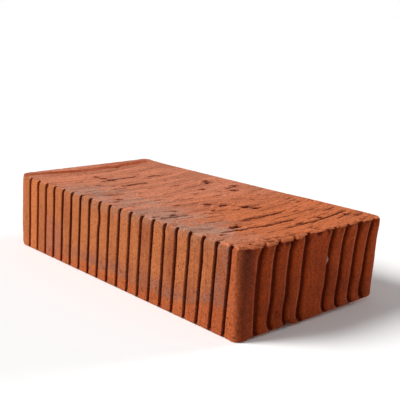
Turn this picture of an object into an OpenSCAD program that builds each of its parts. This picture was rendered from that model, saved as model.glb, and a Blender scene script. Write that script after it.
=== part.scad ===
// Ribbed refractory brick: one fired piece of clay, pushed through a grooved die
// along its height and cut off by wire at both beds.
// Frame: origin at the middle of the lower bed, +X along the length, +Y across it, +Z up.

/* [Brick] */
// Length of the brick
brick_len = 230; // [180:1:300]
// Width of the brick
brick_w = 114; // [90:1:150]
// Height between the two wire-cut beds
brick_h = 51; // [25:1:100]
// Radius of the four upright corners, seen from above
corner_r = 7.5; // [3:0.5:9.5]
// Radius of the worn edges round the upper bed
upper_edge_r = 2.5; // [0.5:0.1:2.8]
// Radius of the crisper edges round the lower bed
lower_edge_r = 1; // [0.5:0.1:2.8]

/* [Grooves] */
// Depth of every groove below its face
groove_d = 3.2; // [3:0.1:5]
// Width of a long face's groove between its straight walls
face_groove_w = 2.2; // [1.4:0.1:3]
// Radius of the shoulders of a long face's groove
face_shoulder_r = 0.8; // [0.3:0.1:1.4]
// Width of an end's groove between its straight walls
end_groove_w = 2.8; // [1.4:0.1:3]
// Radius of the shoulders of an end's groove
end_shoulder_r = 1.4; // [0.3:0.1:1.4]
// Distance from a corner of the brick to the middle of its nearest groove
groove_margin = 12.5; // [10.5:0.1:16]
// Number of grooves on each long face
face_grooves = 20; // [6:1:28]
// Number of grooves on each side of an end's plain middle rib
end_side_grooves = 4; // [2:1:5]
// Distance between the two grooves beside that middle rib
middle_rib_w = 21.2; // [12:0.1:30]

/* [Wire tears] */
// Depth of the deepest tears that the cutting wire left in the upper bed
tear_d = 1.4; // [0.5:0.1:2]
// Width of a tear at the bed
tear_w = 2; // [0.8:0.1:3]
// Radius of the arcs that the tears follow, seen from above
drag_r = 200; // [150:5:400]

/* [Hidden] */
$fn = 48;

clay_colour = "#b9683f";
// Overrun of every cut past the surface that it opens
overrun = 1;
// Facets round the large circle that a tear's bottom is part of
tear_facets = 240;
// Place across the brick where the drag arcs reach furthest along it
drag_middle_share = -0.05;
// Tears: arc's place along the brick, middle across it, length across it, part of the full depth
tear_shares = [
    [-0.290, -0.075, 0.21, 0.6],
    [0.035, 0.360, 0.16, 0.7],
    [0.150, -0.030, 0.16, 0.6],
    [0.206, -0.380, 0.15, 0.8],
    [0.222, 0.105, 0.13, 0.7],
    [0.315, -0.010, 0.32, 1.0],
    [0.352, -0.255, 0.09, 1.0],
    [0.385, -0.150, 0.48, 1.0],
    [0.428, 0.195, 0.52, 0.9],
    [0.452, 0.370, 0.18, 0.7],
];

corner_x = brick_len / 2 - corner_r;
corner_y = brick_w / 2 - corner_r;
face_pitch = (brick_len - 2 * groove_margin) / (face_grooves - 1);
face_start = groove_margin - brick_len / 2;
face_places = [for (i = [0 : face_grooves - 1]) face_start + i * face_pitch];
end_first = middle_rib_w / 2;
end_last = brick_w / 2 - groove_margin;
end_pitch = (end_last - end_first) / (end_side_grooves - 1);
end_places = [for (side = [-1, 1]) for (i = [0 : end_side_grooves - 1]) side * (end_first + i * end_pitch)];

// Upright section from an inner line at x = 0 out to a face, with both outer edges worn round.
module worn_section(reach) {
    square([reach - lower_edge_r, brick_h / 2]);
    translate([0, brick_h / 2])
        square([reach - upper_edge_r, brick_h / 2]);
    translate([0, lower_edge_r])
        square([reach, brick_h - lower_edge_r - upper_edge_r]);
    translate([reach - lower_edge_r, lower_edge_r])
        circle(lower_edge_r);
    translate([reach - upper_edge_r, brick_h - upper_edge_r])
        circle(upper_edge_r);
}

// Slab from the brick's middle plane out to a long face, between the upright corners.
module long_half() {
    translate([-corner_x, 0, 0])
        rotate([90, 0, 90])
            linear_extrude(2 * corner_x)
                worn_section(brick_w / 2);
}

// Strip between the upright corners of an end, out to the end face.
module end_strip() {
    translate([corner_x, corner_y, 0])
        rotate([90, 0, 0])
            linear_extrude(2 * corner_y)
                worn_section(corner_r);
}

// Upright corner: the same section turned a quarter round the corner's axis.
module corner_post() {
    translate([corner_x, corner_y, 0])
        rotate_extrude(angle = 90)
            worn_section(corner_r);
}

// Brick before its grooves: two halves, two end strips and four corner posts, fused.
module blank() {
    for (turn = [0, 180])
        rotate([0, 0, turn]) {
            long_half();
            end_strip();
            corner_post();
            mirror([0, 1, 0])
                corner_post();
        }
}

// Section of a groove that opens towards +Y at y = 0: a round-bottomed slot with rounded shoulders.
module groove_section(slot_w, shoulder_r) {
    mouth_half = slot_w / 2 + shoulder_r;
    translate([-slot_w / 2, slot_w / 2 - groove_d])
        square([slot_w, groove_d - slot_w / 2 + overrun]);
    translate([0, slot_w / 2 - groove_d])
        circle(slot_w / 2);
    difference() {
        translate([-mouth_half, -shoulder_r])
            square([2 * mouth_half, shoulder_r + overrun]);
        for (side = [-1, 1])
            translate([side * mouth_half, -shoulder_r])
                circle(shoulder_r);
    }
}

// One groove, running from bed to bed.
module groove(slot_w, shoulder_r) {
    translate([0, 0, -overrun])
        linear_extrude(brick_h + 2 * overrun)
            groove_section(slot_w, shoulder_r);
}

// Row of grooves on the face that looks along +Y at the given distance from the middle.
module groove_row(places, reach, slot_w, shoulder_r) {
    for (place = places)
        translate([place, reach, 0])
            groove(slot_w, shoulder_r);
}

// One tear across the upper bed: the rim of a large bevelled disc, so it runs out at both tips.
module tear(reach, depth) {
    rim_r = (reach * reach / 4 + depth * depth) / (2 * depth);
    cut_d = depth + overrun;
    bevel = tear_w / 2 * cut_d / depth;
    translate([0, 0, brick_h + rim_r - depth])
        rotate([0, 90, 0])
            for (side = [0, 1])
                mirror([0, 0, side])
                    cylinder(bevel, rim_r, rim_r - cut_d, $fn = tear_facets);
}

// All tears, each laid along its drag arc.
module wire_tears() {
    for (share = tear_shares) {
        across = share[1] * brick_w;
        swing = across - drag_middle_share * brick_w;
        translate([share[0] * brick_len - swing * swing / (2 * drag_r), across, 0])
            rotate([0, 0, atan(swing / drag_r)])
                tear(share[2] * brick_w, share[3] * tear_d);
    }
}

module brick() {
    color(clay_colour)
        difference() {
            blank();
            for (turn = [0, 180])
                rotate([0, 0, turn]) {
                    groove_row(face_places, brick_w / 2, face_groove_w, face_shoulder_r);
                    rotate([0, 0, 90])
                        groove_row(end_places, brick_len / 2, end_groove_w, end_shoulder_r);
                }
            wire_tears();
        }
}

brick();
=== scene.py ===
import math

import bmesh
import bpy
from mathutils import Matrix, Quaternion, Vector, noise


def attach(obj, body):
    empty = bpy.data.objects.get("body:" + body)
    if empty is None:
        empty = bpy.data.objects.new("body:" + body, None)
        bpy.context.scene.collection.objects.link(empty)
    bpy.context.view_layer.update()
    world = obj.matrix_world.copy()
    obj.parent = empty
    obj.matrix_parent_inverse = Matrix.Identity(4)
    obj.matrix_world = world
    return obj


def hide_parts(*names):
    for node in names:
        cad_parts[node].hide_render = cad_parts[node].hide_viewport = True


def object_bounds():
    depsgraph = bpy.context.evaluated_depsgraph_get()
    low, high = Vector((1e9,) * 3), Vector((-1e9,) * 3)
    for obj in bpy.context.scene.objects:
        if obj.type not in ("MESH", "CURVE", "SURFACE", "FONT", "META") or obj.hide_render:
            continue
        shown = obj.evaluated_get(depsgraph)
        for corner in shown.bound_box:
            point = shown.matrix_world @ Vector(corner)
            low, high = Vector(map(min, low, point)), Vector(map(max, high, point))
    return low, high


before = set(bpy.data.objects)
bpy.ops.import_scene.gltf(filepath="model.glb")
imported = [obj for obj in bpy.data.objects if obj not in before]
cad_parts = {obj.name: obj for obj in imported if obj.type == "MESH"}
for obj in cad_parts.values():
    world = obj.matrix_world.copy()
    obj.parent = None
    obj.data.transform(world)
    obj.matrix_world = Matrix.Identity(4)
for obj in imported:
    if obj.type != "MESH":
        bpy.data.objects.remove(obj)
cadLow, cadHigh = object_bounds()
print("stage: frame loaded")

mm = 0.001


def ease(start, end, value):  # 0 before start, 1 after end, smooth between
    t = min(max((value - start) / (end - start), 0.0), 1.0)
    return t * t * (3.0 - 2.0 * t)


def between(start, full, drop, end, value):  # 1 from full to drop, 0 outside start and end
    return ease(start, full, value) * ease(end, drop, value)


def mix(first, last, share):
    return first + (last - first) * share


def grain(x, y, z):  # smooth noise between about -1 and 1
    return noise.noise(Vector((x, y, z)))


# shader helpers: one wrapped socket, one way to add a node
class Value:
    def __init__(self, shader, socket):
        self.shader = shader
        self.socket = socket

    def math(self, operation, first, second):
        return self.shader.add("ShaderNodeMath", {"operation": operation}, {0: first, 1: second})

    def __add__(self, other):
        return self.math("ADD", self, other)

    def __radd__(self, other):
        return self.math("ADD", other, self)

    def __sub__(self, other):
        return self.math("SUBTRACT", self, other)

    def __rsub__(self, other):
        return self.math("SUBTRACT", other, self)

    def __mul__(self, other):
        return self.math("MULTIPLY", self, other)

    def __rmul__(self, other):
        return self.math("MULTIPLY", other, self)

    def __truediv__(self, other):
        return self.math("DIVIDE", self, other)

    def __rtruediv__(self, other):
        return self.math("DIVIDE", other, self)


class Shader:
    def __init__(self, tree):
        self.tree = tree
        tree.nodes.clear()

    def add(self, kind, settings, sockets, output=0):
        node = self.tree.nodes.new(kind)
        for name, setting in settings.items():
            setattr(node, name, setting)
        for name, value in sockets.items():
            if isinstance(value, Value):
                self.tree.links.new(value.socket, node.inputs[name])
            else:
                node.inputs[name].default_value = value
        return None if output is None else Value(self, node.outputs[output])

    def rise(self, value, low, high):  # 0 at low, 1 at high
        settings = {"interpolation_type": "SMOOTHSTEP"}
        return self.add("ShaderNodeMapRange", settings, {0: value, 1: low, 2: high, 3: 0.0, 4: 1.0})

    def band(self, value, start, full, drop, end):  # 1 from full to drop, 0 outside start and end
        return self.rise(value, start, full) * self.rise(value, end, drop)

    def patch(self, place, size, detail, roughness, shift=(0, 0, 0)):  # noise, size in mm along x, y, z
        scale = [1.0 / s for s in size]
        spread = self.add("ShaderNodeMapping", {}, {"Vector": place, "Location": shift, "Scale": scale})
        sockets = {"Vector": spread, "Scale": 1.0, "Detail": detail, "Roughness": roughness}
        return self.add("ShaderNodeTexNoise", {}, sockets)

    def tint(self, below, above, amount):  # one colour over another
        return self.add("ShaderNodeMix", {"data_type": "RGBA"}, {0: amount, 6: below, 7: above}, 2)

    def shade(self, colour, level):  # colour times a grey level
        grey = self.add("ShaderNodeCombineColor", {}, {0: level, 1: level, 2: level})
        settings = {"data_type": "RGBA", "blend_type": "MULTIPLY"}
        return self.add("ShaderNodeMix", settings, {0: 1.0, 6: colour, 7: grey}, 2)


def rgb(red, green, blue):
    return (red, green, blue, 1.0)


# camera at the picture's viewpoint
camera = {
    "place": (0.38821, -0.32209, 0.16351),
    "look": (-0.73686, 0.63724, -0.22577),
    "roll": 1.50,
    "lens": 72.1,
    "sensor": 36.0,
    "clip": (0.01, 1000.0),
}


def makeCamera(c):
    data = bpy.data.cameras.new("pictureCamera")
    data.sensor_fit = "HORIZONTAL"
    data.sensor_width = c["sensor"]
    data.lens = c["lens"]
    data.clip_start, data.clip_end = c["clip"]
    data.dof.use_dof = False
    obj = bpy.data.objects.new("pictureCamera", data)
    bpy.context.scene.collection.objects.link(obj)
    aim = Vector(c["look"]).to_track_quat("-Z", "Y")
    obj.rotation_mode = "QUATERNION"
    obj.rotation_quaternion = aim @ Quaternion((0, 0, 1), math.radians(c["roll"]))
    obj.location = c["place"]
    bpy.context.scene.camera = obj


makeCamera(camera)
print("stage: camera set")

# pale floor and soft light
studio = {
    "floorHalf": 150.0,
    "floorDrop": 0.0001,
    "floorColour": rgb(0.96, 0.96, 0.957),
    "floorRough": 0.9,
    "floorShine": 0.1,
    "keyFrom": (-0.44, -0.63, 0.64),
    "keyStrength": 3.75,
    "keyAngle": 28.0,
    "rimFrom": (0.22, 0.95, 0.22),
    "rimStrength": 1.7,
    "rimAngle": 20.0,
    "skyLow": 1.0,
    "skyHigh": 0.22,
    "skyTurn": (0.02, 0.30),  # heights between which the sky goes from low to high
}


def sun(name, towards, strength, angle):
    data = bpy.data.lights.new(name, "SUN")
    data.energy = strength
    data.angle = math.radians(angle)
    obj = bpy.data.objects.new(name, data)
    bpy.context.scene.collection.objects.link(obj)
    obj.rotation_mode = "QUATERNION"
    obj.rotation_quaternion = Vector(towards).to_track_quat("Z", "Y")


def makeStudio(s):
    bm = bmesh.new()
    bmesh.ops.create_grid(bm, x_segments=2, y_segments=2, size=s["floorHalf"])
    bmesh.ops.translate(bm, verts=bm.verts, vec=(0, 0, -s["floorDrop"]))
    mesh = bpy.data.meshes.new("studioFloor")
    bm.to_mesh(mesh)
    bm.free()
    floor = bpy.data.objects.new("studioFloor", mesh)
    bpy.context.scene.collection.objects.link(floor)
    paint = bpy.data.materials.new("paleFloor")
    paint.use_nodes = True
    shader = Shader(paint.node_tree)
    sockets = {"Base Color": s["floorColour"], "Roughness": s["floorRough"]}
    sockets["Specular IOR Level"] = s["floorShine"]
    surface = shader.add("ShaderNodeBsdfPrincipled", {}, sockets)
    shader.add("ShaderNodeOutputMaterial", {}, {"Surface": surface}, None)
    mesh.materials.append(paint)

    sun("keyLight", s["keyFrom"], s["keyStrength"], s["keyAngle"])
    sun("rimLight", s["rimFrom"], s["rimStrength"], s["rimAngle"])

    sky = bpy.data.worlds.new("studioSky")
    sky.use_nodes = True
    shader = Shader(sky.node_tree)
    way = shader.add("ShaderNodeTexCoord", {}, {}, "Generated")
    height = shader.add("ShaderNodeSeparateXYZ", {}, {0: way}, 2)
    level = s["skyLow"] + (s["skyHigh"] - s["skyLow"]) * shader.rise(height, *s["skyTurn"])
    glow = shader.add("ShaderNodeBackground", {}, {"Color": rgb(1, 1, 1), "Strength": level})
    shader.add("ShaderNodeOutputWorld", {}, {"Surface": glow}, None)
    bpy.context.scene.world = sky
    bpy.context.scene.view_settings.view_transform = "Standard"


makeStudio(studio)
print("stage: floor and light set")

# the brick, in millimetres until it is finished
brick = {
    "reach": [place / mm for place in cadHigh],  # half length, half width, height
    "cornerRadius": 7.5,
    "upperEdge": 2.5,
    "lowerEdge": 1.0,
    "grooveDepth": 3.2,
    "faceShoulder": 0.8,
    "faceMouth": 1.9,  # half widths of the grooves' mouths
    "endMouth": 2.8,
    "faceGrooves": [-102.5 + 205.0 / 19.0 * i for i in range(20)],
    "endGrooves": [-44.5, -33.2, -21.9, -10.6, 10.6, 21.9, 33.2, 44.5],
    "sideBand": 6.0,  # faces this near to a side are cut with it
    "grooveBand": 4.0,  # points this near to a side lie on it or in its grooves
    "roundFacet": 20.0,
    "ribStep": 1.15,
    "wallStep": 1.6,
    "footRows": [0.5, 1.3],
    "headRows": [49.1, 49.7, 50.2, 50.7],
    "lipDrop": 7.5,
    "lipStep": 0.55,
    "lipMargin": 3.0,
    "bedStrip": 9.5,
    "bedStepY": 1.25,
    "bedStepNear": 0.5,
    "bedStepFar": 0.75,
    "bedTurn": 30.0,  # arc from which the bed is cut more finely
    "arcMargin": (6.0, 10.0),  # arcs are cut this far past the far and the near end
    "stoneHalf": (3.5, 4.0),
    "stoneStep": 0.4,
    "underStep": 3.4,
    "flat": 0.999,
    "weld": 0.15,
}

# wire cut of the upper bed: drag arcs bow towards +X, clay torn along some of them
wireCut = {
    "arcMiddle": -6.0,
    "arcRadius": 200.0,
    "tears": [  # arc, from y, to y, width, depth
        (72.4, -20.0, 18.0, 2.4, 1.6),
        (88.5, -46.0, 11.0, 2.6, 1.8),
        (98.4, -9.0, 53.0, 2.3, 1.6),
        (47.4, -53.5, -33.0, 2.2, 1.4),
        (104.0, 31.0, 53.0, 1.6, 1.0),
        (51.1, 3.0, 21.0, 2.0, 1.2),
        (34.5, -14.0, 7.0, 1.8, 1.1),
        (8.0, 30.0, 50.0, 1.8, 1.1),
        (-61.5, -19.0, 10.0, 3.0, 2.0),
        (-59.8, -25.0, -12.0, 2.2, 1.4),
        (-41.4, -21.0, 3.0, 4.2, 1.6),
        (-55.5, 8.0, 27.0, 1.6, 1.0),
        (-19.7, -46.0, -30.0, 1.8, 1.2),
        (-34.5, -34.0, -18.0, 2.2, 0.9),
        (13.8, -24.0, -7.0, 1.3, 0.7),
        (12.8, -54.5, -42.0, 1.4, 0.8),
        (93.0, 14.0, 42.0, 1.3, 0.8),
        (81.0, -2.0, 44.0, 1.2, 0.7),
        (110.0, -40.0, -8.0, 1.4, 0.8),
        (62.0, 6.0, 40.0, 1.2, 0.7),
        (-12.0, 8.0, 44.0, 2.0, 0.6),
        (-52.0, 2.0, 38.0, 2.6, 0.5),
        (-88.0, -30.0, 12.0, 3.0, 0.5),
        (24.0, -30.0, -4.0, 1.5, 0.6),
    ],
    "tip": (1.0, 5.0),  # a tear runs out past and inside its ends
    "flanks": (0.4, 0.6),  # shares of its width before and behind its line
    "burr": (0.4, 1.4, 1.6),  # clay pushed up before a tear: height, place in widths, half width
    "tearHighlight": (-65.7, -8.0, 2.4, 2.8),  # painted highlight, a pale crescent: x, y, half sizes
    "pits": [  # x, y, half sizes, depth
        (81.1, -30.5, 2.6, 4.4, 2.2),
        (93.4, 24.4, 2.0, 2.0, 1.6),
        (97.3, 44.0, 1.6, 1.8, 1.2),
        (102.6, 47.5, 1.6, 1.8, 1.2),
        (88.3, -46.0, 1.6, 2.6, 1.1),
        (54.4, 11.3, 1.9, 3.6, 1.3),
        (48.9, 7.6, 1.9, 3.4, 1.3),
        (44.8, -14.4, 1.5, 2.4, 1.0),
        (38.9, -1.4, 1.8, 3.4, 1.2),
        (31.1, -7.3, 1.9, 3.6, 1.2),
        (11.0, 34.1, 2.6, 3.2, 1.4),
        (-0.9, 44.1, 2.3, 2.8, 1.3),
        (-23.5, 39.0, 2.2, 2.8, 1.1),
        (-17.5, 35.5, 2.4, 3.2, 1.2),
        (-3.8, 18.7, 1.8, 3.0, 1.0),
        (-51.9, -30.8, 2.0, 3.0, 0.9),
        (-76.0, -16.8, 2.4, 3.0, 0.8),
        (-69.0, -16.2, 2.2, 3.2, 0.9),
        (-66.4, 11.8, 1.8, 2.6, 0.8),
        (-9.8, -44.5, 1.8, 2.6, 1.1),
        (32.6, -35.2, 2.0, 2.6, 1.4),
        (40.4, -41.5, 2.0, 2.8, 1.5),
        (37.4, -51.5, 1.7, 2.0, 1.2),
    ],
    # waves of the bed: height, how much more at the near end, sizes along x and y, seed
    "swells": [(0.20, 0.0, 7.0, 60.0, 0.3), (0.16, 0.06, 2.9, 30.0, 7.7)],
    "ridges": (0.08, 0.20, 1.3, 9.0, 15.2),
    "crumbs": [(0.16, 0.10, 2.4, 2.8, 21.4), (0.16, 0.0, 1.1, 1.1, 27.9)],
    "dashes": (0.42, 0.62, 0.6),  # noise where a short dash starts and is full, depth
    "calmEdge": 5.0,  # smoother this near to the back and the far end
    "drop": (0.42, 0.10),  # bed lies lower: far half, near end
}

# how the fired brick departs from the die's section, and its damage
wear = {
    "swell": (0.14, 0.08, 0.17),  # slow and fine waves of the sides, and how far they are set in
    "waver": 0.25,  # grooves wander sideways
    "crispBack": 0.8,  # shoulders of the faces' grooves are sharper than the die's
    "crispFront": (0.15, 0.65),  # at the far end, and how much more at the near end
    "footFill": 0.95,  # grooves run out at the foot
    "sharpen": (0.9, 0.55),  # upper edge drawn out again: all of it, share of that in front
    "backTaper": 2.7,  # the back closes in towards the far end
    "backFill": 0.9,  # groove heads dragged shut at the back
    "endLift": 3.2,  # lower edge of the near end rises to the back
    "footHollow": 0.9,  # and is hollow under its first ribs
    "endSetIn": (0.5, 0.5),  # at the front corner, and how much more at the back one
    "endSwing": (2.2, 1.3, 1.5, 2.3),  # groove heads drift: all, back half, last two, last few mm
    "footSwing": 1.7,
    "endShift": (0.9, 0.9),  # grooves set over to the front: back half, last one
    "firstGroove": 0.2,
    "frontCorner": 0.9,  # the end falls back beside the front corner
    "farLean": (0.0, 0.9),  # far end leans in: foot, upper edge
    "farFoot": 1.4,
    "corners": [  # side in x, side in y, push out below and above
        (1, 1, -0.9, 0.8),
        (-1, 1, 0.5, 2.2),
        (1, -1, 1.3, 0.2),
        (-1, -1, 0.9, 0.4),
    ],
    "frontShift": (1.95, -0.5),  # front grooves set over: more at the far end, everywhere
    "frontLean": (2.8, 0.9),  # and leaning: everywhere, more at the near end
    "leanHeight": 44.0,
    "headLean": 0.3,
    "headHook": (2.2, 0.8),  # at the far end and at the near end
    "headFill": 0.55,  # groove heads closed by the wire on the front
    "rub": (0.30, 0.7, 0.1),  # rib heads: grains, worn patches, all over
    "lipLean": 1.2,  # upper edge of the near end falls back in its middle
    "lipHang": 1.2,  # torn skin hangs over the first ribs
    "lipOut": (0.8, 0.25),  # skin stands out, and its lumps more
    "kink": (-16.2, 39.5, 7.0, 6.0, 1.0),  # x, z, half sizes, shift
    "chip": (-20.6, 0.4, 3.6, 2.6, 3.0),  # y, z, half sizes, depth
    "dent": (-29.0, 8.8, 2.6, 2.6, 0.9),
    "pebble": (10.2, 32.2, 1.7, 2.9, 2.2),
    "underRough": (0.12, 0.2),
}

paintNames = ("recessShade", "skin", "pebble", "worn", "ribPlace")


def arcOf(x, y):
    return x + (y - wireCut["arcMiddle"]) ** 2 / (2.0 * wireCut["arcRadius"])


def facesWhere(bm, test):
    return [f for f in bm.faces if test(f.normal, f.calc_center_median())]


def cutAlong(bm, faces, axis, places, slack=0.02):
    geom = set(faces)
    for face in faces:
        geom.update(face.edges)
        geom.update(face.verts)
    geom = list(geom)
    for place in places:
        point = Vector((0, 0, 0))
        normal = Vector((0, 0, 0))
        point[axis] = place
        normal[axis] = 1.0
        geom = bmesh.ops.bisect_plane(bm, geom=geom, dist=slack, plane_co=point, plane_no=normal)["geom"]
    return [g for g in geom if isinstance(g, bmesh.types.BMFace)]


def evenly(start, end, step):  # places between two ends, neither of them among them
    count = max(1, round((end - start) / step))
    return [start + (end - start) * i / count for i in range(1, count)]


def acrossRibs(grooves, limit, mouth, step):  # places on the ribs only
    edges = [-limit] + [g + side * mouth for g in grooves for side in (-1, 1)] + [limit]
    places = list(edges)
    for start, end in zip(edges[0::2], edges[1::2]):
        places += evenly(start, end, step)
    return sorted(places)


def bend(bm, turn):  # straightens the drag arcs, or bows them again
    for v in bm.verts:
        v.co.x += turn * (arcOf(v.co.x, v.co.y) - v.co.x)


def closeTears(bm, b):  # the solid's tears are laid flat, to be torn more finely
    length, width = b["reach"][:2]
    rim = b["upperEdge"] + 0.1
    inX, inY = length - rim, width - rim
    inner = facesWhere(bm, lambda n, c: 0.05 < n.z < b["flat"] and abs(c.x) < inX and abs(c.y) < inY)
    bmesh.ops.delete(bm, geom=inner, context="FACES")
    bmesh.ops.holes_fill(bm, edges=[e for e in bm.edges if e.is_boundary], sides=0)
    bmesh.ops.recalc_face_normals(bm, faces=bm.faces)


def thinRounds(bm, b):  # fewer facets, but flats and the worn edges of the corners stay as they are
    length, width, height = b["reach"]
    slack = 0.01
    post = b["cornerRadius"] + slack
    low, high = b["lowerEdge"] + slack, height - b["upperEdge"] - slack
    corners = {v for v in bm.verts if abs(v.co.x) > length - post and abs(v.co.y) > width - post}
    kept = {v for v in corners if not low < v.co.z < high}
    thinned = [e for e in bm.edges if not kept.issuperset(e.verts)]
    for edge in bm.edges:
        flats = [max(abs(n) for n in face.normal) > 0.99999 for face in edge.link_faces]
        edge.seam = any(flats) and not all(flats)
    others = [v for v in bm.verts if v not in kept]
    facet = math.radians(b["roundFacet"])
    bmesh.ops.dissolve_limit(bm, angle_limit=facet, verts=others, edges=thinned, delimit={"SEAM"})
    for edge in bm.edges:
        edge.seam = False
    bm.normal_update()


def cutBrick(bm, b, w):
    length, width, height = b["reach"]
    post = b["cornerRadius"]
    side, groove, flat = b["sideBand"], b["grooveBand"], b["flat"]
    under = facesWhere(bm, lambda n, c: n.z < -flat)
    under = cutAlong(bm, under, 0, evenly(-length, length, b["underStep"]))
    cutAlong(bm, under, 1, evenly(-width, width, b["underStep"]))

    straight = length - post
    faces = facesWhere(bm, lambda n, c: abs(n.z) < flat and abs(c.x) < straight and abs(c.y) > width - side)
    cutAlong(bm, faces, 0, acrossRibs(b["faceGrooves"], straight, b["faceMouth"], b["ribStep"]))
    ends = facesWhere(bm, lambda n, c: abs(n.z) < flat and abs(c.x) > length - side)
    cutAlong(bm, ends, 1, acrossRibs(b["endGrooves"], width - post, b["endMouth"], b["ribStep"]))

    # upper bed: coarse strips, then along the drag arcs, then across
    top = cutAlong(bm, facesWhere(bm, lambda n, c: n.z > flat), 1, evenly(-width, width, b["bedStrip"]))
    bend(bm, 1.0)
    before, past = b["arcMargin"]
    arcs = evenly(-length - before, b["bedTurn"], b["bedStepFar"])
    arcs += evenly(b["bedTurn"] - b["bedStepNear"], length + past, b["bedStepNear"])
    top = cutAlong(bm, top, 0, arcs)
    bend(bm, -1.0)
    cutAlong(bm, top, 1, evenly(-width, width, b["bedStepY"]))

    # walls by height, closer together under the torn edge of the end and round the pebble
    walls = facesWhere(bm, lambda n, c: abs(n.z) < flat)
    rows = evenly(b["lowerEdge"], height - b["upperEdge"], b["wallStep"])
    cutAlong(bm, walls, 2, b["footRows"] + rows + b["headRows"])
    lipFoot = height - b["lipDrop"]
    lip = facesWhere(bm, lambda n, c: abs(n.z) < flat and c.x > length - groove and c.z > lipFoot)
    lip = cutAlong(bm, lip, 2, evenly(lipFoot, height, b["lipStep"]))
    cutAlong(bm, lip, 1, evenly(-width + b["lipMargin"], width - b["lipMargin"], b["lipStep"]))
    py, pz = w["pebble"][:2]
    ry, rz = b["stoneHalf"]
    stone = facesWhere(bm, lambda n, c: c.x > length - groove and abs(c.y - py) < ry and abs(c.z - pz) < rz)
    stone = cutAlong(bm, stone, 2, evenly(pz - rz, pz + rz, b["stoneStep"]))
    cutAlong(bm, stone, 1, evenly(py - ry, py + ry, b["stoneStep"]))
    bmesh.ops.remove_doubles(bm, verts=bm.verts, dist=b["weld"])


def dropFins(bm):  # faces that the weld left back to back on the same corners
    sharing = {}
    for face in bm.faces:
        sharing.setdefault(frozenset(face.verts), []).append(face)
    fins = [face for faces in sharing.values() if len(faces) > 1 for face in faces]
    bmesh.ops.delete(bm, geom=fins, context="FACES")


def edgeSetIn(b, z):  # how far the worn edges fall back at this height
    upper, lower = b["upperEdge"], b["lowerEdge"]
    for radius, over in ((upper, z - (b["reach"][2] - upper)), (lower, lower - z)):
        if over > 0:
            return radius - math.sqrt(max(radius ** 2 - over ** 2, 0.0))
    return 0.0


def grooveDepth(b, p):  # how far a point lies inside the brick's ungrooved sides
    length, width = b["reach"][:2]
    radius = b["cornerRadius"]
    dx = abs(p.x) - (length - radius)
    dy = abs(p.y) - (width - radius)
    inside = radius - (math.hypot(dx, dy) if dx > 0 and dy > 0 else max(dx, dy))
    return min(max(inside - edgeSetIn(b, p.z), 0.0), b["grooveDepth"])


def tearDepth(cut, arc, y):  # how deep the clay is torn, and how high the burr before it is
    depth = lip = 0.0
    past, inside = cut["tip"]
    before, behind = cut["flanks"]
    rise, place, half = cut["burr"]
    for line, start, end, width, most in cut["tears"]:
        if not start - past < y < end + past:
            continue
        off = arc - line + 0.5 * grain(y / 7.0, line, 1.0) + 0.25 * grain(y / 1.7, line, 4.0)
        along = between(start - past, start + inside, end - inside, end + past, y)
        along *= 0.9 + 0.5 * grain(y / 3.5, line, 9.0)
        side = (before if off < 0 else behind) * width
        depth = max(depth, most * along * max(0.0, 1.0 - (off / side) ** 2))
        lip = max(lip, rise * along * max(0.0, 1.0 - abs(off + place * width) / half))
    return depth, lip


def pitDepth(cut, x, y):
    depth = 0.0
    for px, py, rx, ry, most in cut["pits"]:
        if abs(x - px) > 2.0 * rx or abs(y - py) > 2.0 * ry:
            continue
        away = (((x - px) / rx) ** 2 + ((y - py) / ry) ** 2) / 1.1
        away *= 1.0 + 1.2 * grain(x / 1.5, y / 2.2, px)
        depth = max(depth, most * max(0.0, 1.0 - away) ** 0.45)
    return depth


def wave(values, near, x, y):
    height, more, sizeX, sizeY, seed = values
    return (height + more * near) * grain(x / sizeX, y / sizeY, seed)


def bedRelief(b, cut, x, y):  # height of the bed, and how deep it is torn there
    length, width = b["reach"][:2]
    arc = arcOf(x, y)
    near = ease(-40.0, 70.0, x)
    drift = arc + 1.3 * grain(arc / 22.0, y / 35.0, 3.1)
    broken = 0.5 + 0.5 * grain(x / 14.0, y / 14.0, 31.0)
    level = sum(wave(values, near, drift, y) for values in cut["swells"])
    level += wave(cut["ridges"], near, drift, y) * (0.4 + 1.2 * broken)
    level += sum(wave(values, near, x, y) for values in cut["crumbs"])
    torn, burr = tearDepth(cut, arc, y)
    start, full, most = cut["dashes"]
    dash = ease(start, full, grain(drift / 1.8, y / 10.0, 77.0) + 0.12 * near + 0.2 * (broken - 0.5))
    calm = ease(width, width - cut["calmEdge"], y) * ease(-length, -length + cut["calmEdge"], x)
    drop = mix(*cut["drop"], ease(10.0, 100.0, x))
    drop *= ease(-length, -length + 30.0, x)  # level with the far end and with the back's near half
    drop *= 1.0 - ease(30.0, 70.0, x) * ease(width - 14.0, width, y)
    torn = max(torn, pitDepth(cut, x, y), most * dash * calm)
    return calm * (level + burr) - drop - torn, torn


def pushCorner(b, p, move, sideX, sideY, lower, upper):  # squares an upright corner, or rounds it more
    cx = p.x * sideX - (b["reach"][0] - b["cornerRadius"])
    cy = p.y * sideY - (b["reach"][1] - b["cornerRadius"])
    if cx <= 0 or cy <= 0:
        return
    angle = math.atan2(cy, cx)
    push = mix(lower, upper, p.z / b["reach"][2]) * math.sin(2.0 * angle)
    move.x += sideX * push * math.cos(angle)
    move.y += sideY * push * math.sin(angle)


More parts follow.
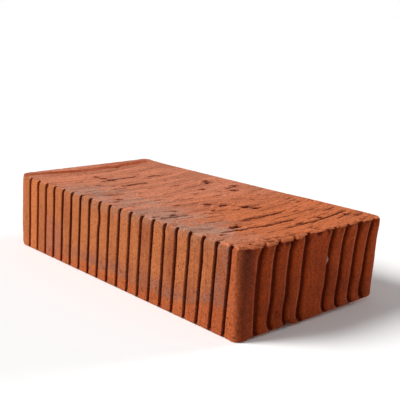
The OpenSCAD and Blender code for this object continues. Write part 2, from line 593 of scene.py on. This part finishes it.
def sharpenEdge(b, w, p, move):  # the upper edge stayed sharp at the back and far end, less so in front
    length, width, height = b["reach"]
    if p.z < height - b["upperEdge"]:
        return
    cx = max(abs(p.x) - (length - b["cornerRadius"]), 0.0)
    cy = max(abs(p.y) - (width - b["cornerRadius"]), 0.0)
    away = math.hypot(cx, cy)
    most, inFront = w["sharpen"]
    farEnd = ease(-length + 20.0, -length + 9.0, p.x)
    back = ease(width - 20.0, width - 9.0, p.y) * ease(length, length - 11.0, p.x)
    front = inFront * ease(-width + 20.0, -width + 9.0, p.y) * ease(length - 4.0, length - 14.0, p.x)
    out = most * max(farEnd, back, front) * edgeSetIn(b, p.z) * ease(1.5, 4.9, away)
    if out > 0:
        move.x += math.copysign(out * cx / away, p.x)
        move.y += math.copysign(out * cy / away, p.y)


def shapeSides(b, w, p, normal, depth, wall, move):  # slow waves, small hollows, crisp wavering grooves
    length, width = b["reach"][:2]
    slow, fine, setIn = w["swell"]
    swell = slow * grain(p.x / 9.0, p.y / 9.0, p.z / 22.0)
    swell += fine * grain(p.x / 2.2, p.y / 2.2, p.z / 3.0) - setIn
    move.x += wall * swell * normal.x
    move.y += wall * swell * normal.y
    if abs(p.y) > width - 8.0:
        move.x += w["waver"] * grain(p.x / 6.0, 11.0 + math.copysign(3.0, p.y), p.z / 14.0)
    if abs(p.x) > length - 8.0:
        move.y += w["waver"] * grain(p.y / 6.0, 17.0 + math.copysign(3.0, p.x), p.z / 14.0)
    onFace = abs(p.y) > width - b["grooveBand"]
    if onFace and depth < b["faceShoulder"]:
        least, more = w["crispFront"]
        crisp = w["crispBack"] if p.y > 0 else least + more * ease(-70.0, 40.0, p.x)
        move.y += math.copysign(crisp * depth * (1.0 - depth / b["faceShoulder"]), p.y)
    foot = w["footFill"] * depth * ease(2.0, 0.6, p.z)
    if onFace:
        move.y += math.copysign(foot, p.y)
    elif abs(p.x) > length - b["grooveBand"]:
        move.x += math.copysign(foot, p.x)


def shapeFront(b, w, p, normal, depth, move):  # grooves lean over the upper edge, rib heads rubbed
    length, width, height = b["reach"]
    front = ease(-width + 9.0, -width + 1.0, p.y)
    if front <= 0:
        return
    along = (p.x + length) / (2.0 * length)
    over = w["frontShift"][0] * ease(0.62, -0.1, along) + w["frontShift"][1]
    over += (w["frontLean"][0] + w["frontLean"][1] * along) * min(p.z / w["leanHeight"], 1.0)
    move.x += front * over * ease(length, length - 10.5, abs(p.x))
    hook = mix(*w["headHook"], along)
    hook *= ease(height - 2.8, height, p.z) * ease(length, length - 9.0, abs(p.x))
    move.x += front * (w["headLean"] * ease(height - 6.0, height, p.z) ** 2 + hook)
    if p.y < -width + b["grooveBand"]:
        move.y -= w["headFill"] * depth * ease(height - 2.0, height - 0.4, p.z)
    kx, kz, rx, rz, kink = w["kink"]
    move.x += kink * front * max(0.0, 1.0 - abs(p.x - kx) / rx) * max(0.0, 1.0 - abs(p.z - kz) / rz)
    grains, patches, allOver = w["rub"]
    rub = grains * grain(p.x / 1.4, p.y / 1.4, p.z / 1.4) - allOver
    rub += patches * min(0.0, grain(p.x / 5.0, 2.0, p.z / 5.0) + 0.1)
    move += normal * (rub * front * ease(height - 5.0, height - 1.5, p.z))


def shapeBack(b, w, p, depth, move):  # groove heads dragged shut by the wire
    length, width, height = b["reach"]
    if p.y > width - 9.0:
        move.y += w["backFill"] * depth * ease(height - 2.4, height - 0.9, p.z)
    move.y -= w["backTaper"] * (length - p.x) / (2.0 * length) * (p.y + width) / (2.0 * width)


def keepRound(b, p, move):  # what has drifted past the back corner's round is drawn in to it
    radius = b["cornerRadius"]
    cx = p.x + move.x - (b["reach"][0] - radius)
    cy = p.y + move.y - (b["reach"][1] - radius)
    if cx <= 0 or cy <= 0:
        return
    over = max(0.0, 1.0 - radius / math.hypot(cx, cy))
    move.x -= cx * over
    move.y -= cy * over


def shapeEnds(b, w, p, move):
    length, width, height = b["reach"]
    right = ease(length - 14.0, length - 1.0, p.x)
    onEnd = ease(length - 7.0, length - 3.5, p.x)
    tall = p.z / height
    back = ease(-width, width, p.y)
    lift = w["endLift"] * (p.y + width) / (2.0 * width)
    lift += w["footHollow"] * between(-54.0, -45.0, -21.0, -13.0, p.y)
    move.z += lift * (1.0 - tall) * ease(50.0, length, p.x)
    if right > 0:  # near end: set in below its upper edge, groove heads swing to the back
        move.x -= right * (1.0 - tall ** 1.6) * (w["endSetIn"][0] + w["endSetIn"][1] * back)
        every, backHalf, lastTwo, heads = w["endSwing"]
        swing = (every + backHalf * ease(-17.0, 6.0, p.y) + lastTwo * ease(22.0, 42.0, p.y)) * tall ** 3.5
        swing += heads * ease(height - 8.0, height, p.z)
        swing -= w["endShift"][0] * ease(0.0, 9.0, p.y) + w["endShift"][1] * ease(36.0, 43.0, p.y)
        swing -= w["footSwing"] * between(0.0, 5.0, 6.0, 22.0, p.z) * ease(-46.0, -34.0, p.y)
        move.y += onEnd * swing * between(-width, -width + 11.0, width - 14.0, width, p.y)
        move.y += onEnd * w["firstGroove"] * between(-width + 2.0, -45.0, -44.0, -32.0, p.y)
        move.x -= w["frontCorner"] * onEnd * ease(-40.0, -52.0, p.y)
        keepRound(b, p, move)
    left = ease(-length + 14.0, -length + 1.0, p.x)
    if left > 0:  # far end: leans in towards its upper edge, foot rubbed round
        move.x += left * w["farLean"][1 if tall > 0.5 else 0] * (2.0 * tall - 1.0) ** 2
        move.x += left * w["farFoot"] * ease(4.0, 0.0, p.z) ** 2


# torn upper edge of the near end: share of bed skin, undercut, how far it hangs
def tearLip(b, w, p, move):
    length, width, height = b["reach"]
    if p.x < length - 12.0 or p.z < height - b["lipDrop"]:
        return 1.0, 0.0, 0.0
    middle = between(-width + 6.0, -30.0, width - 12.0, width - 1.0, p.y)
    lean = w["lipLean"] * middle * (1.0 + 0.7 * grain(p.y / 7.0, 5.0, 0.0))
    move.x -= lean * ease(length - 12.0, length - 2.5, p.x) * ease(height - b["lipDrop"], height - 0.8, p.z)
    across = between(-width, -width + 6.0, width - 12.0, width - 4.0, p.y)
    onEnd = ease(length - 7.0, length - 3.5, p.x)
    hang = w["lipHang"] * between(-width, -46.0, -18.0, -13.0, p.y)
    line = height - 0.9 - hang + 0.45 * grain(p.y / 6.5, 5.0, 0.0) + 0.4 * grain(p.y / 1.3, 9.0, 0.0)
    skin = ease(line - 0.2, line + 0.2, p.z)
    lump = max(0.0, 0.1 + 1.1 * grain(p.y / 2.6, p.z / 2.6, 41.0) + 0.5 * grain(p.y / 0.9, p.z / 0.9, 47.0))
    closed = max(ease(3.2, 2.2, abs(p.y - groove)) for groove in b["endGrooves"])
    fill = closed * ease(length - 12.0, length - 5.7, p.x) * max(length - 1.6 - p.x, 0.0)
    out, lumps = w["lipOut"]
    move.x += skin * across * max(fill, out * ease(length - 7.0, length - 2.5, p.x))
    move.x += across * onEnd * skin * lumps * lump
    deep = max(0.0, 0.35 + 1.8 * grain(p.y / 3.6, 3.0, p.z / 3.6))
    cut = across * onEnd * (1.0 - skin) * ease(line - 3.2, line - 0.4, p.z) * deep
    move.x -= cut
    return 1.0 - (1.0 - skin) * onEnd, cut, hang


def damageEnd(b, w, p, depth, move):  # chip, dent and pebble of the near end, with painted shade in the chip and the dent
    recessShade = pebble = 0.0
    length = b["reach"][0]
    if p.x < length - 14.0:
        return recessShade, pebble
    onEnd = ease(length - 8.0, length - 6.0, p.x)
    for name, dark in (("chip", 1.0), ("dent", 0.35)):
        cy, cz, ry, rz, most = w[name]
        away = ((p.y - cy) / ry) ** 2 + ((p.z - cz) / rz) ** 2 + 0.3 * grain(p.y / 1.5, p.z / 1.5, 61.0)
        bite = max(0.0, 1.0 - away) ** 0.6
        move.x -= onEnd * most * bite * max(0.0, 1.0 - depth / 3.0)
        # painted shade: full dark in the chip, lighter in the dent
        recessShade = max(recessShade, dark * bite)
    py, pz, ry, rz, most = w["pebble"]
    away = ((p.y - py) / ry) ** 2 + ((p.z - pz) / rz) ** 2
    if away < 1.0 and depth > 0.3 and onEnd > 0:
        dome = math.sqrt(1.0 - away)
        move.x += min(most * dome, max(depth - 0.4, 0.0))
        pebble = ease(0.15, 0.55, dome)
    return recessShade, pebble


def wornLine(b, p, depth):  # painted highlight along the rib edges of the near end
    if p.x < b["reach"][0] - b["grooveBand"] or depth > 1.0:
        return 0.0
    return max(between(-4.0, -2.6, -1.9, -1.2, p.y - groove) for groove in b["endGrooves"])


def shapeBrick(bm, b, cut, w):
    length, width, height = b["reach"]
    layers = [bm.verts.layers.float.new(name) for name in paintNames]
    bm.normal_update()
    moved = []
    for v in bm.verts:
        p = v.co
        move = Vector((0, 0, 0))
        onTop = ease(height - 0.5, height - 0.05, p.z)
        onUnder = ease(0.5, 0.05, p.z)
        wall = 1.0 - max(onTop, onUnder)
        depth = grooveDepth(b, p)
        if wall > 0:
            shapeSides(b, w, p, v.normal, depth, wall, move)
        shapeFront(b, w, p, v.normal, depth, move)
        shapeBack(b, w, p, depth, move)
        sharpenEdge(b, w, p, move)
        shapeEnds(b, w, p, move)
        for corner in w["corners"]:
            pushCorner(b, p, move, *corner)
        skin, undercut, hang = tearLip(b, w, p, move)
        rim = 2.4 if p.x > length - 8.0 else 1.2  # the bed's skin wraps further over the torn end
        skin *= ease(height - rim - hang, height - 0.4, p.z + 0.6 * grain(p.x / 2.5, p.y / 2.5, 83.0))
        damageShade, pebble = damageEnd(b, w, p, depth, move)
        onEnd = p.x > length - b["grooveBand"]
        shadeToBrim = ease(20.0, -80.0, p.x) * ease(0.0, -20.0, p.y)  # painted groove shade reaches the brim at the front's far end
        # painted shade in the grooves, darker the deeper they go
        recessShade = ease(0.5, 2.3, depth) if onEnd else ease(0.3 - 0.25 * shadeToBrim, 1.3 - 0.7 * shadeToBrim, depth)
        recessShade *= wall * (1.0 - 0.9 * skin)
        # painted shadow under the torn lip, in the chip and in the dent
        recessShade = max(recessShade, damageShade, ease(0.15, 0.9, undercut)) * (1.0 - pebble)
        if onTop > 0:
            level, torn = bedRelief(b, cut, p.x + move.x, p.y + move.y)
            move.z += onTop * min(0.0, level)
            # painted shade in the bed's tears and pits
            recessShade = max(recessShade, onTop * ease(0.15, 0.95, torn))
        if onUnder > 0:
            least, rough = w["underRough"]
            move.z += onUnder * max(0.0, least + rough * grain(arcOf(p.x, p.y) / 5.0, p.y / 30.0, 71.0))
        moved.append((v, p + move, (recessShade, max(skin, onUnder), pebble, wornLine(b, p, depth), p.x)))

    for v, place, paints in moved:  # nothing passes the CAD's box
        v.co.x = min(max(place.x, -length), length)
        v.co.y = min(max(place.y, -width), width)
        v.co.z = min(max(place.z, 0.0), height)
        for layer, paint in zip(layers, paints):
            v[layer] = paint


def makeBrick(b, cut, w):
    bm = bmesh.new()
    bm.from_mesh(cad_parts["brick"].data)
    bmesh.ops.scale(bm, vec=(1.0 / mm, 1.0 / mm, 1.0 / mm), verts=bm.verts)
    bmesh.ops.remove_doubles(bm, verts=bm.verts, dist=0.001)
    bm.normal_update()
    closeTears(bm, b)
    bmesh.ops.dissolve_limit(bm, angle_limit=0.01, verts=bm.verts, edges=bm.edges)
    bm.normal_update()
    thinRounds(bm, b)
    print("stage: brick merged,", len(bm.faces), "faces")
    cutBrick(bm, b, w)
    print("stage: brick cut,", len(bm.faces), "faces")
    shapeBrick(bm, b, cut, w)
    bmesh.ops.triangulate(bm, faces=bm.faces, quad_method="BEAUTY", ngon_method="BEAUTY")
    dropFins(bm)
    bmesh.ops.scale(bm, vec=(mm, mm, mm), verts=bm.verts)
    for face in bm.faces:
        face.smooth = True
    mesh = bpy.data.meshes.new("wireCutBrick")
    bm.to_mesh(mesh)
    loose = sum(1 for e in bm.edges if not e.is_manifold)
    print("stage: brick shaped,", len(bm.faces), "triangles,", loose, "open edges")
    bm.free()
    obj = bpy.data.objects.new("wireCutBrick", mesh)
    bpy.context.scene.collection.objects.link(obj)
    return obj


# fired clay
clay = {
    "wall": rgb(0.390, 0.119, 0.040),
    "wallDark": rgb(0.262, 0.070, 0.026),
    "wallBright": rgb(0.49, 0.142, 0.045),
    "mauve": rgb(0.34, 0.108, 0.060),
    "head": rgb(0.33, 0.135, 0.072),
    "band": rgb(0.37, 0.074, 0.020),
    "bloom": rgb(0.25, 0.090, 0.056),
    "corner": rgb(0.35, 0.078, 0.024),
    "end": rgb(0.262, 0.037, 0.0050),
    "endDark": rgb(0.200, 0.028, 0.0044),
    # painted shade beside the front corner of the near end
    "endCornerShade": rgb(0.128, 0.0245, 0.0100),
    # painted highlight on the rib edges of the near end
    "endHighlight": rgb(0.34, 0.098, 0.050),
    "bed": rgb(0.555, 0.192, 0.104),
    "bedNear": rgb(0.550, 0.148, 0.053),
    "bedDark": rgb(0.27, 0.050, 0.019),
    "bedBloom": rgb(0.385, 0.226, 0.170),
    "bedRust": rgb(0.30, 0.046, 0.011),
    # painted shade in the bed's tears and pits
    "tornShade": rgb(0.075, 0.0085, 0.0032),
    # painted highlight beside the deepest far tear
    "tearHighlight": rgb(0.38, 0.25, 0.22),
    # painted shade of the grooves, chip, dent and lip undercut; paler and redder at the far end
    "groove": rgb(0.115, 0.013, 0.0045),
    "grooveShadeFar": rgb(0.27, 0.042, 0.010),
    "speck": rgb(0.13, 0.028, 0.013),
    "dot": rgb(0.20, 0.030, 0.010),
    "stone": rgb(0.27, 0.155, 0.12),
    "rough": 0.9,
    "shine": 0.08,
    "rustArc": -99.2,  # drag arc of the rusty strip at the far end
    # noise over the clay: size in mm along x, y, z, detail, roughness, shift
    "grit": ((0.9, 0.9, 0.9), 2.0, 0.6),
    "clod": ((2.3, 2.3, 2.3), 2.0, 0.6, (1, 7, 2)),
    "cloud": ((26.0, 26.0, 20.0), 3.0, 0.5, (4, 1, 2)),
    "streak": ((2.0, 2.0, 40.0), 3.0, 0.55),
    "blotch": ((9.0, 9.0, 6.0), 3.0, 0.6, (9, 3, 0)),
    "ragged": ((4.5, 4.5, 4.5), 3.0, 0.6, (2, 8, 1)),
    "pores": ((1.3, 1.3, 1.5), 1.0, 0.4, (5, 5, 5)),
    "dots": ((3.0, 3.0, 3.4), 1.0, 0.4, (15, 2, 9)),
    # noise along the drag arcs
    "drag": ((8.0, 110.0, 50.0), 3.0, 0.6, (3, 3, 3)),
    "scrape": ((1.7, 34.0, 50.0), 2.0, 0.55, (8, 1, 3)),
    "nick": ((2.6, 6.5, 50.0), 1.5, 0.5, (2, 6, 4)),
}


def makeClay(c, b, cut):
    material = bpy.data.materials.new("firedClay")
    material.use_nodes = True
    s = Shader(material.node_tree)
    coords = s.add("ShaderNodeTexCoord", {}, {}, "Object")
    scale = (1.0 / mm, 1.0 / mm, 1.0 / mm)
    place = s.add("ShaderNodeMapping", {}, {"Vector": coords, "Scale": scale})
    x, y, z = [s.add("ShaderNodeSeparateXYZ", {}, {0: place}, axis) for axis in range(3)]
    paints = [s.add("ShaderNodeAttribute", {"attribute_name": name}, {}, "Fac") for name in paintNames]
    recessShade, skin, pebble, worn, ribPlace = paints
    bow = y - cut["arcMiddle"]
    arc = x + bow * bow / (2.0 * cut["arcRadius"])
    bowed = s.add("ShaderNodeCombineXYZ", {}, {0: arc, 1: y, 2: z})

    ends = s.rise(x, 110.0, 113.6) + s.rise(x, -110.0, -113.6)
    grit = s.rise(s.patch(place, *c["grit"]), 0.30, 0.70)
    clod = s.rise(s.patch(place, *c["clod"]), 0.32, 0.68)
    cloud = s.patch(place, *c["cloud"])
    blotch = s.patch(place, *c["blotch"])

    # sides: streaks up the ribs, a tone of its own for each rib, painted shade making them darker to the
    # right
    streak = s.patch(place, *c["streak"])
    first, second = b["faceGrooves"][:2]
    rib = s.add("ShaderNodeMath", {"operation": "FLOOR"}, {0: (ribPlace - first) / (second - first)})
    ribTone = s.add("ShaderNodeTexWhiteNoise", {"noise_dimensions": "1D"}, {"W": rib})
    # random tone, plus painted shade darker towards the near end
    toneAndShade = streak * 0.8 + cloud * 0.5 + ribTone * 0.32 - 0.32 * s.rise(x, -60.0, 110.0) + 0.04
    wall = s.tint(c["wallDark"], c["wall"], s.rise(toneAndShade, 0.35, 0.85))
    wall = s.tint(wall, c["wallBright"], s.band(ribPlace, -102.0, -101.0, -93.0, -92.0) * 0.7)
    mauve = s.band(ribPlace, -81.5, -80.0, -60.0, -58.0) * s.rise(z, 34.0, 22.0)
    wall = s.tint(wall, c["mauve"], mauve * 0.7)
    wall = s.tint(wall, c["head"], s.rise(z + 16.0 * blotch, 49.0, 61.0) * s.rise(x, -70.0, -30.0) * 0.8)

    # redder band along the foot, grey bloom above its uneven border
    edge = 4.0 + 3.5 * s.rise(x, -90.0, 0.0) + 9.0 * s.rise(x, 60.0, 104.0)
    ragged = s.patch(place, *c["ragged"])
    above = z - edge - 12.0 * (ragged - 0.5)
    haze = s.band(above, -1.0, 2.5, 3.0, 15.0) * s.rise(x, -75.0, -25.0)
    slope = ribPlace - 0.22 * z - 87.0
    slant = s.band(slope, -1.5, 2.0, 4.0, 8.0) * s.rise(z, 14.0, 24.0) * s.rise(ribPlace, 103.5, 102.0)
    wall = s.tint(wall, c["bloom"], s.rise(haze + slant, 0.0, 1.0) * s.rise(blotch, 0.28, 0.62) * 0.72)
    foot = s.rise(above, 1.8, -1.8) * s.rise(x, -100.0, -60.0)
    wall = s.tint(wall, c["band"], foot * (0.35 + 0.4 * ragged))
    wall = s.tint(wall, c["corner"], s.rise(ribPlace, 102.0, 105.0) * 0.8)

    # ends: darker, painted shade beside the front corner, painted highlight on the rib edges
    endClay = s.tint(c["endDark"], c["end"], s.rise(streak * 0.25 + cloud * 0.75, 0.38, 0.6))
    # painted shade on the end beside the front corner, darker towards the top
    cornerShade = s.rise(y, -45.5, -51.0) * s.rise(x, 0.0, 50.0) * (0.6 + 0.4 * s.rise(z, 15.0, 45.0))
    endClay = s.tint(endClay, c["endCornerShade"], cornerShade)
    # painted highlight on the rib edges
    endClay = s.tint(endClay, c["endHighlight"], worn * s.rise(streak + cloud, 0.75, 1.2) * 0.36)
    endClay = s.shade(endClay, (0.88 + 0.17 * s.rise(y, -34.0, -4.0)) * (1.0 + 0.1 * s.rise(z, 16.0, 4.0)))
    colour = s.tint(wall, endClay, ends)
    colour = s.shade(colour, 0.70 + 0.42 * grit + 0.18 * clod)

    # pores and dark grains of the sides, more of them low and to the right
    crowd = 0.03 * s.rise(x, -40.0, 90.0) + 0.025 * s.rise(z, 24.0, 4.0) + 0.03 * s.rise(x, 96.0, 106.0)
    speck = s.rise(s.patch(place, *c["pores"]) + crowd, 0.70, 0.78)
    dots = s.rise(s.patch(place, *c["dots"]) + crowd, 0.73, 0.79)
    colour = s.tint(colour, c["speck"], speck * 0.6)
    colour = s.tint(colour, c["dot"], dots * 0.7)

    # beds: tone follows the drag arcs, fine dark lines where the wire tore more
    drag = s.patch(bowed, *c["drag"])
    scrape = s.patch(bowed, *c["scrape"])
    near = s.rise(x + 60.0 * cloud, 20.0, 110.0)
    far = 1.0 - near
    bed = s.tint(c["bed"], c["bedNear"], near)
    pale = s.rise(y, -10.0, -45.0) * s.band(x, -75.0, -30.0, 78.0, 122.0)
    bed = s.tint(bed, c["bedBloom"], pale * s.rise(cloud * 0.5 + blotch * 0.5, 0.34, 0.56) * 0.8)
    bed = s.shade(bed, 0.90 - 0.10 * far + (0.16 + 0.24 * far) * s.rise(drag, 0.34, 0.66))
    bed = s.tint(bed, c["bedDark"], s.rise(drag, 0.57, 0.67) * far * 0.5)
    line = s.rise(scrape, 0.60, 0.68)
    bed = s.tint(bed, c["bedDark"], line * (0.3 + 0.4 * near))
    bed = s.tint(bed, c["bedDark"], s.rise(s.patch(bowed, *c["nick"]), 0.62, 0.72) * 0.55)

    # rusty strip and edge at the far end, painted highlight beside the deepest far tear
    strip = arc - c["rustArc"] + 2.0 * s.rise(y, -15.0, -45.0) + 6.0 * (blotch - 0.5)
    strip = s.band(strip, -6.0, -3.0, 2.5, 5.5) * s.rise(y, 56.0, 44.0)
    bed = s.tint(bed, c["bedRust"], strip * (0.6 + 0.35 * s.rise(scrape * 0.5 + blotch * 0.5, 0.40, 0.56)))
    bed = s.tint(bed, c["bedRust"], s.rise(x, -110.0, -113.5) * 0.5)
    bed = s.shade(bed, 0.66 + 0.46 * grit + 0.20 * clod)
    # painted highlight: a pale crescent beside the tear
    gx, gy, rx, ry = cut["tearHighlight"]
    across = (x - gx) / rx
    along = (y - gy) / ry
    tearHighlight = s.rise(across * across + along * along, 1.0, 0.5) * s.rise(blotch, 0.35, 0.5)
    bed = s.tint(bed, c["tearHighlight"], tearHighlight * 0.8)
    colour = s.tint(colour, bed, skin)

    # painted shade in the grooves and the torn clay, and the pebble
    deep = s.tint(c["grooveShadeFar"], c["groove"], s.rise(ribPlace, -100.0, -35.0))
    colour = s.tint(colour, deep, recessShade * 0.92)
    # painted shade in the bed's tears and pits
    colour = s.tint(colour, c["tornShade"], recessShade * skin * 0.8)
    colour = s.tint(colour, c["stone"], pebble)

    height = grit * 0.10 + clod * (0.08 + 0.14 * skin) + (1.0 - skin) * (streak * 0.2 - speck * 0.35)
    height = height + skin * (scrape * 0.3 - line * 0.4)
    bump = s.add("ShaderNodeBump", {}, {"Strength": 1.0, "Distance": mm, "Height": height})
    sockets = {"Base Color": colour, "Roughness": c["rough"] - 0.1 * pebble, "Normal": bump}
    sockets["Specular IOR Level"] = c["shine"]
    surface = s.add("ShaderNodeBsdfPrincipled", {}, sockets)
    s.add("ShaderNodeOutputMaterial", {}, {"Surface": surface}, None)
    return material


body = makeBrick(brick, wireCut, wear)
body.data.materials.append(makeClay(clay, brick, wireCut))
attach(body, "root")
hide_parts("brick")
print("stage: clay on the brick")
